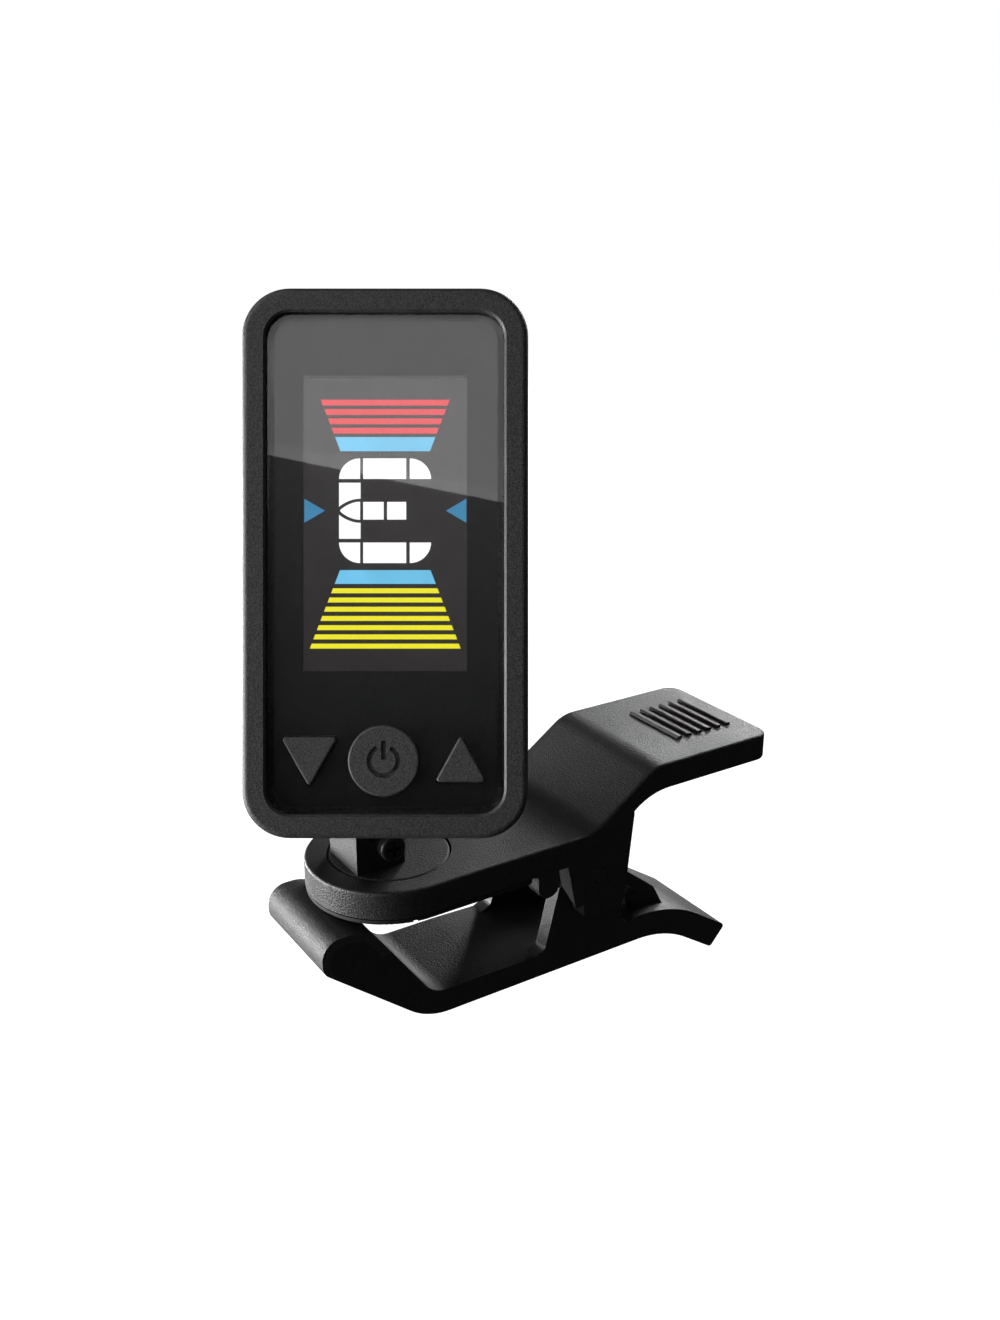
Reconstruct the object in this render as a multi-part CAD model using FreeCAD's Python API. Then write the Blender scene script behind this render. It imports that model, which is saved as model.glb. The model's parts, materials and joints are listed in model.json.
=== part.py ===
"""Clip-on instrument tuner: sprung clip, swivelling pedestal, tilting arm, ball stud and display head.

Frame, in millimetres: the origin is on the swivel axis, on the clamping face of the upper pad.
+X runs along the clip from its nose to its handle, +Z points up and away from the clamped board,
and +Y completes the right-handed set.  The rest pose has the jaws closed and the head turned and
tilted back, as it is read by a player.
"""
import FreeCAD, Part
import math
import os

Vector = FreeCAD.Vector

# ---- clip: upper jaw -------------------------------------------------------------------------
JAW_HALF = 9.4                      # half width; also the radius of the round nose
PAD_T = 0.7                         # rubber pad under the upper jaw
PLATE_T = 3.2                       # thickness of the jaw plate over the pad
JAW_TOP = PAD_T + PLATE_T
HANDLE_TOP = 10.1
HANDLE_T = 3.3
TAIL_X = 48.1
TAIL_CORNER = 2.0
PAD_END_X = 13.4
FLEX_GROOVE_X = -1.8
FLEX_GROOVE_DEEP = 0.25
RISE_FOOT_X = 21.3                  # where the top face starts to climb to the handle
RISE_HEAD_X = 30.1
EAR_IN = 7.2                        # inner face of the side ears that hold the hinge pin
PIN_X = 22.6
PIN_Z = -1.87
PIN_R = 1.0

# ---- clip: lower jaw -------------------------------------------------------------------------
LOWER_HALF = 6.9
LUG_IN = 5.0                        # inner face of the lower jaw's hinge lugs
LUG_BOSS_R = 2.6
FLOOR_TOP = -11.45
FLOOR_BOTTOM = -14.4
SKIN_T = 0.9                        # rubber skin over the lower nose
RUN_GAP = 0.05                      # radial clearance of every running fit

# ---- torsion spring --------------------------------------------------------------------------
WIRE_R = 0.45
COIL_R = 1.75
COIL_TURNS = 4
COIL_PITCH = 1.05

# ---- swivel and pedestal ---------------------------------------------------------------------
DISC_R = 6.75
DISC_T = 1.25
RECESS_R = 6.95
HUB_R = 3.0
COUNTERBORE_R = 4.8
COUNTERBORE_T = 1.1
YOKE_NOSE_X = -5.6
YOKE_HALF = 3.25
YOKE_IN = 2.15
YOKE_H = 4.7
TILT_X = -1.65
TILT_Z = JAW_TOP + 2.6
TILT_BOSS_R = 1.9
TILT_SCREW_R = 0.9

# ---- arm and ball ----------------------------------------------------------------------------
BALL = Vector(1.3, 0.0, JAW_TOP + 18.4)
BALL_R = 2.6
NECK_R = 1.1
KNUCKLE_R = 2.2
COLLAR_R = 2.3
COLLAR_FROM_BALL = 5.3
POST_R = 0.9
SNAP_R = 1.2

# ---- head, in its own frame: x to the right, y up, z out of the display -------------------------
HEAD_TURN = 32.9                    # degrees between the display's normal and -Y
HEAD_TILT = 20.7                    # degrees that the display leans back
HEAD_W = 28.0
HEAD_H = 53.8
HEAD_T = 9.0
HEAD_CORNER = 4.7
WALL = 1.4
BACK_WALL = 1.0
SPLIT_Z = -5.0                      # parting line of front bezel and rear cover
BALL_LOCAL = Vector(0.0, -13.1, -HEAD_T - 3.5)
OPEN_W = 23.3
OPEN_H = 49.1
OPEN_CORNER = 2.5
PANEL_TOP = -0.8
PANEL_T = 1.0
LEDGE_T = 0.6
LEDGE_LIP = 0.65
LCD_Y = 3.86
LCD_W = 17.5
LCD_H = 31.2
LCD_TOP = -1.85
LCD_T = 1.0
LIGHT_TOP = -2.9
LIGHT_T = 0.8
BOARD_TOP = -3.8
BOARD_T = 0.8
BOARD_W = 23.6
BOARD_H = 42.6
BUTTON_TOP = -0.35
BUTTON_GAP = 0.1
BUTTON_Y = -19.33
POWER_R = 3.5
CELL_R = 10.0                       # CR2032
CELL_T = 3.2
CELL_Y = 7.5
DOOR_R = 12.0
DOOR_T = 0.9
POST_XY = (10.6, 23.4)              # case screw posts
SCREW_POST_R = 1.4


# ================================================================================ shape helpers
def corner_points(before, corner, after, radius):
    """Tangent points and the middle point of the arc that rounds one corner of an outline."""
    to_before = (before - corner).normalize()
    to_after = (after - corner).normalize()
    half = to_before.getAngle(to_after) / 2
    reach = radius / math.tan(half)
    middle = (to_before + to_after).normalize() * (radius / math.sin(half) - radius)
    return corner + to_before * reach, corner + middle, corner + to_after * reach


def outline(corners, plane="xy"):
    """Closed face from (a, b) or (a, b, radius) corners in the plane xy, xz or yz."""
    axes = {"xy": lambda a, b: Vector(a, b, 0),
            "xz": lambda a, b: Vector(a, 0, b),
            "yz": lambda a, b: Vector(0, a, b)}[plane]
    points = [axes(c[0], c[1]) for c in corners]
    radii = [c[2] if len(c) > 2 else 0 for c in corners]
    edges = []
    ends = []
    for i, point in enumerate(points):
        if radii[i]:
            start, middle, end = corner_points(points[i - 1], point, points[(i + 1) % len(points)], radii[i])
            edges.append((start, middle, end))
        else:
            edges.append((point, None, point))
        ends.append((edges[-1][0], edges[-1][2]))
    path = []
    for i, (start, middle, end) in enumerate(edges):
        if middle:
            path.append(Part.Arc(start, middle, end).toShape())
        following = ends[(i + 1) % len(ends)][0]
        if end.distanceToPoint(following) > 1e-6:
            path.append(Part.LineSegment(end, following).toShape())
    return Part.Face(Part.Wire(path))


def prism(corners, plane, start, end):
    """Outline extruded along the axis that its plane leaves out, from start to end."""
    direction = {"xy": Vector(0, 0, 1), "xz": Vector(0, 1, 0), "yz": Vector(1, 0, 0)}[plane]
    face = outline(corners, plane)
    face.translate(direction * start)
    return face.extrude(direction * (end - start))


def rod(radius, start, end):
    """Solid cylinder between two points."""
    axis = end - start
    return Part.makeCylinder(radius, axis.Length, start, axis)


def tube(outer, inner, start, end):
    return rod(outer, start, end).cut(rod(inner, start, end))


def slab(width, height, corner, low, high, centre=(0.0, 0.0)):
    """Rounded rectangle in xy between two z levels."""
    x, y = centre
    w, h = width / 2, height / 2
    corners = [(x - w, y - h, corner), (x + w, y - h, corner), (x + w, y + h, corner), (x - w, y + h, corner)]
    return prism(corners, "xy", low, high)


def block(low, high):
    """Box between its lowest and highest corners."""
    size = high - low
    return Part.makeBox(size.x, size.y, size.z, low)


def mirrored_y(shape):
    """The shape together with its mirror image across the clip's middle plane."""
    return [shape, shape.mirror(Vector(0, 0, 0), Vector(0, 1, 0))]


def edges_at(shape, test):
    """Edges whose every vertex passes the test."""
    return [edge for edge in shape.Edges if edge.Vertexes and all(test(v.Point) for v in edge.Vertexes)]


def level(z):
    return lambda point: abs(point.z - z) < 1e-4


# ================================================================================ clip
def jaw_plan(inset, end_x, tail_corner, low, high):
    """Plan shape of the clip: round nose, straight sides and a tail with rounded corners."""
    half = JAW_HALF - inset
    body = prism([(0, -half), (end_x, -half, tail_corner), (end_x, half, tail_corner), (0, half)], "xy", low, high)
    return body.fuse(Part.makeCylinder(half, high - low, Vector(0, 0, low))).removeSplitter()


def upper_jaw():
    slope = (HANDLE_TOP - JAW_TOP) / (RISE_HEAD_X - RISE_FOOT_X)
    handle_bottom = HANDLE_TOP - HANDLE_T
    under_foot_x = RISE_FOOT_X - 0.2
    under_head_x = under_foot_x + (handle_bottom - PAD_T) / slope
    side = prism([(-12, JAW_TOP), (-12, PAD_T), (under_foot_x, PAD_T, 3.0), (under_head_x, handle_bottom, 8.0),
                  (TAIL_X + 2, handle_bottom), (TAIL_X + 2, HANDLE_TOP), (RISE_HEAD_X, HANDLE_TOP, 5.0),
                  (RISE_FOOT_X, JAW_TOP, 5.0)], "xz", -JAW_HALF - 1, JAW_HALF + 1)
    jaw = side.common(jaw_plan(0, TAIL_X, TAIL_CORNER, -20, 20))
    ear = prism([(17.6, 1.6), (19.0, -5.0, 0.6), (20.6, -6.9, 1.4), (25.9, -6.9, 1.1), (26.35, -3.0),
                 (27.2, 5.2), (27.0, 6.4), (19.0, 1.6)], "xz", -JAW_HALF, -EAR_IN)
    lead_in = prism([(-EAR_IN + 0.1, -3.0), (-JAW_HALF, -5.0), (-JAW_HALF, -7.5), (-EAR_IN + 0.1, -7.5)],
                    "yz", 16.0, 20.2)
    ear = ear.cut(lead_in)
    stop = prism([(13.8, 1.6), (13.8, -2.4, 1.35), (16.6, -2.4, 1.35), (16.6, 1.6)], "xz", -JAW_HALF, -EAR_IN)
    for piece in mirrored_y(ear) + mirrored_y(stop):
        jaw = jaw.fuse(piece)
    jaw = jaw.removeSplitter()
    pin_from = Vector(PIN_X, -JAW_HALF - 1, PIN_Z)
    pin_to = Vector(PIN_X, JAW_HALF + 1, PIN_Z)
    jaw = jaw.cut(rod(PIN_R, pin_from, pin_to))
    recess_floor = JAW_TOP - DISC_T - RUN_GAP
    jaw = jaw.cut(Part.makeCylinder(RECESS_R, 5, Vector(0, 0, recess_floor)))
    jaw = jaw.cut(Part.makeCylinder(HUB_R + RUN_GAP, 5, Vector(0, 0, 0)))
    jaw = jaw.cut(Part.makeCylinder(COUNTERBORE_R, COUNTERBORE_T, Vector(0, 0, PAD_T)))
    return add_grip_ribs(soften_jaw(jaw))


def soften_jaw(jaw):
    """Round the long upper edges and the nose of the upper jaw."""
    def on_top(point):
        return point.z > JAW_TOP - 0.01 and (abs(point.y) > JAW_HALF - 3.2 or point.x > TAIL_X - 3.2)
    top = [e for e in edges_at(jaw, on_top) if e.Length > 0.05 and not is_upright(e)]
    return jaw.makeFillet(0.35, top)


def is_upright(edge):
    first, last = edge.Vertexes[0].Point, edge.Vertexes[-1].Point
    return abs(first.z - last.z) > 2.5


def add_grip_ribs(jaw):
    """Raised straight ribs across the thumb rest."""
    for index in range(6):
        x = 37.6 + 1.55 * index
        rib = prism([(x - 0.45, HANDLE_TOP - 0.3), (x + 0.45, HANDLE_TOP - 0.3),
                     (x + 0.3, HANDLE_TOP + 0.3, 0.15), (x - 0.3, HANDLE_TOP + 0.3, 0.15)], "xz", -4.6, 4.6)
        jaw = jaw.fuse(rib)
    return jaw.removeSplitter()


def upper_jaw_pad():
    """Rubber pad, stepped in at its top so that a fine groove shows under the jaw."""
    sole = jaw_plan(0.08, PAD_END_X, 1.0, 0, PAD_T - 0.18)
    neck = jaw_plan(0.45, PAD_END_X - 0.4, 0.8, PAD_T - 0.2, PAD_T)
    sole = sole.makeFillet(0.2, edges_at(sole, level(0)))
    # a flex groove parts the land over the lower nose from the land over the throat
    groove = block(Vector(FLEX_GROOVE_X - 0.3, -JAW_HALF, -1), Vector(FLEX_GROOVE_X + 0.3, JAW_HALF, FLEX_GROOVE_DEEP))
    return sole.fuse(neck).removeSplitter().cut(groove)


def lower_section(inset):
    """Side outline of the lower jaw; inset shrinks its nose for the core under the rubber skin."""
    front = -11.85 + inset
    top = -0.5 - inset
    return [(front, -4.2 - inset * 0.3, 1.8), (0.64, FLOOR_BOTTOM, 8.0), (34.6, FLOOR_BOTTOM, 14.0),
            (42.6, -19.7, 0.5), (44.85, -17.15, 0.5), (35.7, -11.1, 16.5), (29.9, -11.1, 1.2), (28.3, -12.05, 1.5),
            (9.0, FLOOR_TOP), (1.45 - inset, FLOOR_TOP, 3.2), (-5.75 - inset, -1.35 - inset * 0.6, 1.2),
            (-8.2, top, 4.0), (front, top, 2.2 - inset * 0.6)]


def nose_zone():
    """Region that the rubber skin covers, at the tip of the lower jaw."""
    return prism([(-13, -5.2), (-10.0, -5.9), (-8.0, -4.4), (-4.2, -4.4), (-2.6, -3.2), (-2.6, 1), (-13, 1)],
                 "xz", -LOWER_HALF, LOWER_HALF)


def lower_jaw_pad():
    full = prism(lower_section(0), "xz", -LOWER_HALF, LOWER_HALF)
    core = prism(lower_section(SKIN_T), "xz", -LOWER_HALF, LOWER_HALF)
    return full.cut(core).common(nose_zone())


def lower_jaw():
    full = prism(lower_section(0), "xz", -LOWER_HALF, LOWER_HALF)
    jaw = full.cut(lower_jaw_pad())
    lug = prism([(14.9, -12.4), (14.9, -11.75), (16.5, -11.0, 0.9), (18.6, -2.8, 0.3), (20.8, -7.0, 0.6),
                 (20.1, -2.4), (22.6, -1.0), (24.9, -0.9), (27.3, -7.6, 4.0), (27.7, -10.6, 1.4), (29.4, -12.0),
                 (29.4, -12.8)], "xz", -LOWER_HALF, -LUG_IN)
    lug = lug.fuse(rod(LUG_BOSS_R, Vector(PIN_X, -LOWER_HALF, PIN_Z), Vector(PIN_X, -LUG_IN, PIN_Z)))
    web = prism([(26.4, -12.6), (26.4, -4.6), (28.6, -4.6, 0.6), (34.1, -9.0, 0.6), (35.9, -12.4), (31.0, -12.4),
                 (30.4, -9.6, 0.3), (31.4, -8.8, 0.2), (29.2, -7.0, 0.4), (28.6, -12.6)], "xz", -LUG_IN - 0.1, -2.9)
    for piece in mirrored_y(lug) + mirrored_y(web):
        jaw = jaw.fuse(piece)
    cross_wall = block(Vector(32.0, -3.0, -12.0), Vector(33.2, 3.0, -9.6))
    jaw = jaw.fuse(cross_wall).removeSplitter()
    bore = rod(PIN_R + RUN_GAP, Vector(PIN_X, -LOWER_HALF - 1, PIN_Z), Vector(PIN_X, LOWER_HALF + 1, PIN_Z))
    return jaw.cut(bore)


def hinge_pin():
    pin = rod(PIN_R, Vector(PIN_X, -JAW_HALF + 0.02, PIN_Z), Vector(PIN_X, JAW_HALF - 0.02, PIN_Z))
    return pin.makeChamfer(0.12, pin.Edges[0:1] + pin.Edges[2:3])


def torsion_spring():
    """Coil round the pin as closed rings of wire, with a leg under the handle and one on the floor."""
    centre = Vector(PIN_X, 0, PIN_Z)
    width = COIL_PITCH * (COIL_TURNS - 1)
    spring = None
    for turn in range(COIL_TURNS):
        y = -width / 2 + COIL_PITCH * turn
        ring = Part.makeTorus(COIL_R, WIRE_R, centre + Vector(0, y, 0), Vector(0, 1, 0))
        spring = ring if spring is None else spring.fuse(ring)
    link = block(centre + Vector(-0.3, -width / 2, -COIL_R - 0.3), centre + Vector(0.3, width / 2, -COIL_R + 0.3))
    spring = spring.fuse(link)
    up_leg = rod(WIRE_R, centre + Vector(-0.6, width / 2, COIL_R), centre + Vector(6.0, width / 2, 5.6))
    down_leg = rod(WIRE_R, centre + Vector(COIL_R, -width / 2, 0.6), centre + Vector(3.9, -width / 2, -9.4))
    return spring.fuse(up_leg).fuse(down_leg).removeSplitter()


# ================================================================================ swivel and arm
def swivel_base():
    """Turntable disc with its hub, and the yoke that holds the arm."""
    disc = Part.makeCylinder(DISC_R, DISC_T, Vector(0, 0, JAW_TOP - DISC_T))
    disc = disc.makeChamfer(0.22, edges_at(disc, level(JAW_TOP)))
    hub_low = PAD_T + COUNTERBORE_T - RUN_GAP
    hub = Part.makeCylinder(HUB_R, JAW_TOP - hub_low, Vector(0, 0, hub_low))
    top = JAW_TOP + YOKE_H
    web = block(Vector(YOKE_NOSE_X, -YOKE_HALF, JAW_TOP - 0.2), Vector(YOKE_NOSE_X + 1.2, YOKE_HALF, top))
    cheek = prism([(YOKE_NOSE_X, JAW_TOP - 0.2), (YOKE_NOSE_X, top), (YOKE_NOSE_X + 1.2, top),
                   (YOKE_NOSE_X + 2.1, TILT_Z + 0.6, 0.6), (TILT_X, TILT_Z + 0.5), (0.2, TILT_Z),
                   (0.2, JAW_TOP - 0.2)], "xz", -YOKE_HALF, -YOKE_IN)
    boss = rod(TILT_BOSS_R, Vector(TILT_X, -YOKE_HALF, TILT_Z), Vector(TILT_X, -YOKE_IN, TILT_Z))
    base = disc.fuse(hub).fuse(web)
    for piece in mirrored_y(cheek.fuse(boss)):
        base = base.fuse(piece)
    base = base.removeSplitter()
    base = base.cut(rod(TILT_SCREW_R, Vector(TILT_X, -5, TILT_Z), Vector(TILT_X, 5, TILT_Z)))
    return base.cut(Part.makeCylinder(0.8, 3.0, Vector(0, 0, hub_low - 0.5)))


def swivel_washer():
    top = PAD_T + COUNTERBORE_T - RUN_GAP
    return tube(4.5, 0.85, Vector(0, 0, top - 0.4), Vector(0, 0, top))


def screw_cross(at, axis, length, width, depth):
    """Cross recess: two crossing slots cut from a screw's face, inward along axis."""
    across = Vector(0, 1, 0).cross(axis)
    if across.Length < 0.5:
        across = Vector(1, 0, 0)
    across.normalize()
    other = axis.cross(across)
    slots = []
    for long_way, short_way in ((across, other), (other, across)):
        corner = at - long_way * (length / 2) - short_way * (width / 2)
        points = [corner, corner + long_way * length, corner + long_way * length + short_way * width,
                  corner + short_way * width, corner]
        slots.append(Part.Face(Part.makePolygon(points)).extrude(axis * depth))
    return slots[0].fuse(slots[1])


def swivel_screw():
    washer_low = PAD_T + COUNTERBORE_T - RUN_GAP - 0.4
    head_low = washer_low - 0.5
    head = Part.makeCylinder(2.2, 0.5, Vector(0, 0, head_low))
    shank = Part.makeCylinder(0.8, 2.6, Vector(0, 0, washer_low))
    screw = head.fuse(shank).removeSplitter()
    return screw.cut(screw_cross(Vector(0, 0, head_low), Vector(0, 0, 1), 2.2, 0.5, 0.3))


def tilt_screw():
    """Pan-head screw through the yoke; its head stands out on the side that faces the player."""
    head = rod(1.5, Vector(TILT_X, -YOKE_HALF - 1.15, TILT_Z), Vector(TILT_X, -YOKE_HALF, TILT_Z))
    rim = [e for e in head.Edges if e.Vertexes[0].Point.y < -YOKE_HALF - 1.1 and len(e.Vertexes) == 1]
    head = head.makeFillet(0.3, rim)
    shank = rod(TILT_SCREW_R, Vector(TILT_X, -YOKE_HALF - 0.2, TILT_Z), Vector(TILT_X, YOKE_HALF + 1.1, TILT_Z))
    screw = head.fuse(shank).removeSplitter()
    return screw.cut(screw_cross(Vector(TILT_X, -YOKE_HALF - 1.15, TILT_Z), Vector(0, 1, 0), 1.9, 0.42, 0.45))


def tilt_nut():
    corners = []
    for side in range(6):
        angle = math.radians(60 * side + 30)
        corners.append((TILT_X + 1.75 * math.cos(angle), TILT_Z + 1.75 * math.sin(angle)))
    nut = prism(corners, "xz", YOKE_HALF, YOKE_HALF + 0.95)
    return nut.cut(rod(TILT_SCREW_R, Vector(TILT_X, 0, TILT_Z), Vector(TILT_X, 9, TILT_Z)))


HINGE = Vector(TILT_X, 0, TILT_Z)
ARM_AXIS = (BALL - HINGE).normalize()
ARM_LENGTH = (BALL - HINGE).Length
ARM_LEAN = math.degrees(math.atan2(ARM_AXIS.x, ARM_AXIS.z))


def along_arm(distance):
    """Point on the arm's axis, measured from the ball down to the hinge."""
    return BALL - ARM_AXIS * distance


def tilt_arm():
    half = YOKE_IN - 0.1
    knuckle = rod(KNUCKLE_R, HINGE - Vector(0, half, 0), HINGE + Vector(0, half, 0))
    bar = slab(3.8, 3.7, 1.0, 0.0, ARM_LENGTH - COLLAR_FROM_BALL)
    bar.rotate(Vector(0, 0, 0), Vector(0, 1, 0), ARM_LEAN)
    bar.translate(HINGE)
    collar = rod(COLLAR_R, along_arm(COLLAR_FROM_BALL + 4.0), along_arm(COLLAR_FROM_BALL))
    arm = knuckle.fuse(bar).fuse(collar).removeSplitter()
    arm = arm.cut(rod(TILT_SCREW_R + RUN_GAP, HINGE - Vector(0, 5, 0), HINGE + Vector(0, 5, 0)))
    arm = arm.cut(rod(POST_R + RUN_GAP, along_arm(COLLAR_FROM_BALL + 5.4), along_arm(COLLAR_FROM_BALL - 1)))
    return arm.cut(rod(SNAP_R + 0.15, along_arm(COLLAR_FROM_BALL + 5.5), along_arm(COLLAR_FROM_BALL + 3.9)))


def ball_stud():
    """Ball on a short neck; its post turns in the arm and is held by a snap end."""
    ball = Part.makeSphere(BALL_R, BALL)
    neck = rod(NECK_R, along_arm(COLLAR_FROM_BALL - 0.3), along_arm(BALL_R - 0.8))
    flange = rod(1.9, along_arm(COLLAR_FROM_BALL - RUN_GAP), along_arm(COLLAR_FROM_BALL - 0.65))
    post = rod(POST_R, along_arm(COLLAR_FROM_BALL + 5.0), along_arm(COLLAR_FROM_BALL - 0.2))
    snap = rod(SNAP_R, along_arm(COLLAR_FROM_BALL + 5.0), along_arm(COLLAR_FROM_BALL + 4.0))
    return ball.fuse(neck).fuse(flange).fuse(post).fuse(snap).removeSplitter()


# ================================================================================ head placement
def head_placement():
    turn = FreeCAD.Rotation(Vector(0, 0, 1), -HEAD_TURN)
    stand = FreeCAD.Rotation(Vector(1, 0, 0), 90 - HEAD_TILT)
    rotation = turn.multiply(stand)
    return FreeCAD.Placement(BALL - rotation.multVec(BALL_LOCAL), rotation)


HEAD_PLACE = head_placement()


def on_head(shape):
    """A shape drawn in the head's frame, moved to where the head stands."""
    placed = shape.copy()
    placed.Placement = HEAD_PLACE.multiply(placed.Placement)
    return placed


def front_bezel():
    shell = slab(HEAD_W, HEAD_H, HEAD_CORNER, SPLIT_Z, 0)
    shell = shell.makeFillet(0.6, edges_at(shell, level(0)))
    ledge_low = PANEL_TOP - PANEL_T - LEDGE_T
    cavity = slab(HEAD_W - 2 * WALL, HEAD_H - 2 * WALL, HEAD_CORNER - WALL, SPLIT_Z, ledge_low)
    opening = slab(OPEN_W, OPEN_H, OPEN_CORNER, PANEL_TOP - PANEL_T, 1)
    ledge = slab(OPEN_W - 2 * LEDGE_LIP, OPEN_H - 2 * LEDGE_LIP, OPEN_CORNER - LEDGE_LIP, SPLIT_Z, 1)
    shell = shell.cut(cavity).cut(opening).cut(ledge)
    rim = edges_at(shell, lambda p: abs(p.z) < 1e-4 and abs(p.x) < OPEN_W / 2 + 0.01 and abs(p.y) < OPEN_H / 2 + 0.01)
    shell = shell.makeChamfer(0.22, rim)
    for x, y in screw_places():
        post = Part.makeCylinder(SCREW_POST_R, ledge_low - SPLIT_Z, Vector(x, y, SPLIT_Z))
        shell = shell.fuse(post)
    shell = shell.removeSplitter()
    for x, y in screw_places():
        shell = shell.cut(Part.makeCylinder(0.6, 2.2, Vector(x, y, SPLIT_Z)))
    return shell


def screw_places():
    px, py = POST_XY
    return [(-px, -py), (px, -py), (px, py), (-px, py)]


def triangle_corners(points, grow, radius):
    """Rounded triangle grown outward by grow on every side."""
    cx = sum(p[0] for p in points) / 3
    cy = sum(p[1] for p in points) / 3
    inner = min(side_distance(points, i, cx, cy) for i in range(3))
    scale = 1 + grow / inner
    return [(cx + (x - cx) * scale, cy + (y - cy) * scale, radius) for x, y in points]


def side_distance(points, index, cx, cy):
    (ax, ay), (bx, by) = points[index], points[(index + 1) % 3]
    length = math.hypot(bx - ax, by - ay)
    return abs((bx - ax) * (ay - cy) - (ax - cx) * (by - ay)) / length


DOWN_TRIANGLE = [(-10.25, -16.95), (-4.6, -16.95), (-7.43, -21.95)]
UP_TRIANGLE = [(7.4, -16.75), (4.85, -21.4), (9.95, -21.4)]
TRIANGLE_CORNER = 0.3
SYMBOL_DEPTH = 0.3


def power_plug(grow, low, high):
    return Part.makeCylinder(POWER_R + grow, high - low, Vector(-0.15, BUTTON_Y, low))


def triangle_plug(points, grow, low, high):
    return prism(triangle_corners(points, grow, TRIANGLE_CORNER), "xy", low, high)


def window_panel():
    low = PANEL_TOP - PANEL_T
    panel = slab(OPEN_W - 0.1, OPEN_H - 0.1, OPEN_CORNER - 0.05, low, PANEL_TOP)
    panel = panel.cut(power_plug(BUTTON_GAP, low - 1, 1))
    for points in (DOWN_TRIANGLE, UP_TRIANGLE):
        panel = panel.cut(triangle_plug(points, BUTTON_GAP, low - 1, 1))
    return panel


def button(plug, stem_at):
    """Cap through the panel, a flange that keeps it in, and a stem over its switch."""
    flange_top = PANEL_TOP - PANEL_T - RUN_GAP
    cap = plug(0, flange_top - 0.2, BUTTON_TOP)
    cap = cap.makeFillet(0.2, edges_at(cap, level(BUTTON_TOP)))
    flange = plug(0.4, flange_top - 0.4, flange_top)
    x, y = stem_at
    stem = Part.makeCylinder(0.9, 0.55, Vector(x, y, flange_top - 0.75))
    return cap.fuse(flange).fuse(stem).removeSplitter()


def power_button():
    """Round button with an engraved standby ring and bar."""
    x, y = -0.15, BUTTON_Y
    cap = button(power_plug, (x, y))
    low = BUTTON_TOP - SYMBOL_DEPTH
    ring = tube(1.66, 1.18, Vector(x, y, low), Vector(x, y, low + 1))
    gap = prism([(x, y), (x - 1.3, y + 2.6), (x + 1.3, y + 2.6)], "xy", low, low + 1)
    bar = block(Vector(x - 0.25, y + 0.15, low), Vector(x + 0.25, y + 2.0, low + 1))
    return cap.cut(ring.cut(gap)).cut(bar)


def down_button():
    return button(lambda grow, low, high: triangle_plug(DOWN_TRIANGLE, grow, low, high), (-7.6, -18.9))


def up_button():
    return button(lambda grow, low, high: triangle_plug(UP_TRIANGLE, grow, low, high), (7.4, -19.6))


def tact_switches():
    """Three surface-mount dome switches on the board, one under each button."""
    switches = []
    for x, y in ((-7.6, -18.9), (-0.15, BUTTON_Y), (7.4, -19.6)):
        body = slab(3.0, 3.0, 0.3, BOARD_TOP, BOARD_TOP + 0.55, (x, y))
        plunger = Part.makeCylinder(0.8, 0.2, Vector(x, y, BOARD_TOP + 0.55))
        switches.append(body.fuse(plunger).removeSplitter())
    return Part.makeCompound(switches)


def lcd_glass():
    glass = slab(LCD_W, LCD_H, 0.3, LCD_TOP - LCD_T, LCD_TOP, (0, LCD_Y))
    return glass


def lcd_color_film():
    """Printed colour filter film between the glass and the light guide."""
    film_top = LCD_TOP - LCD_T
    return slab(LCD_W - 0.6, LCD_H - 2.4, 0.3, film_top - 0.04, film_top, (0, LCD_Y))


def backlight_plate():
    return slab(LCD_W - 0.4, LCD_H - 2.6, 0.4, LIGHT_TOP - LIGHT_T, LIGHT_TOP, (0, LCD_Y))


def backlight_leds():
    """Two side-view lamps at the lower edge of the light guide."""
    low = BOARD_TOP
    y = LCD_Y - LCD_H / 2 + 0.5
    return Part.makeCompound([slab(2.0, 0.7, 0.1, low, low + 0.6, (x, y)) for x in (-4.5, 4.5)])


def zebra_strips():
    """Elastomer connector strips that join the glass to the board."""
    strips = []
    for side in (-1, 1):
        y = LCD_Y + side * (LCD_H / 2 - 0.55)
        length = LCD_W - 1.5 if side > 0 else 5.0
        strips.append(slab(length, 0.7, 0.1, BOARD_TOP, LCD_TOP - LCD_T, (0, y)))
    return Part.makeCompound(strips)


def lcd_frame():
    high = LCD_TOP - 0.05
    outer = slab(LCD_W + 2.2, LCD_H + 2.2, 1.0, BOARD_TOP, high, (0, LCD_Y))
    inner = slab(LCD_W + 0.1, LCD_H + 0.1, 0.35, BOARD_TOP - 1, high + 1, (0, LCD_Y))
    return outer.cut(inner)


def main_board():
    board = slab(BOARD_W, BOARD_H, 1.2, BOARD_TOP - BOARD_T, BOARD_TOP)
    for x, y in screw_places():
        board = board.cut(Part.makeCylinder(1.9, 4, Vector(x, y, BOARD_TOP - 2)))
    return board


BOARD_BACK = BOARD_TOP - BOARD_T


def controller_chip():
    body = slab(6.0, 6.0, 0.3, BOARD_BACK - 0.9, BOARD_BACK - 0.08, (0, -9.6))
    chip = body
    for index in range(10):
        offset = -2.6 + 0.58 * index
        for leg in (block(Vector(offset - 0.12, -13.4, BOARD_BACK - 0.35), Vector(offset + 0.12, -5.8, BOARD_BACK)),
                    block(Vector(-3.8, -9.6 + offset - 0.12, BOARD_BACK - 0.35),
                          Vector(3.8, -9.6 + offset + 0.12, BOARD_BACK))):
            chip = chip.fuse(leg)
    return chip.removeSplitter()


def crystal_can():
    return slab(3.2, 1.5, 0.7, BOARD_BACK - 1.1, BOARD_BACK, (7.0, -8.5))


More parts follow.
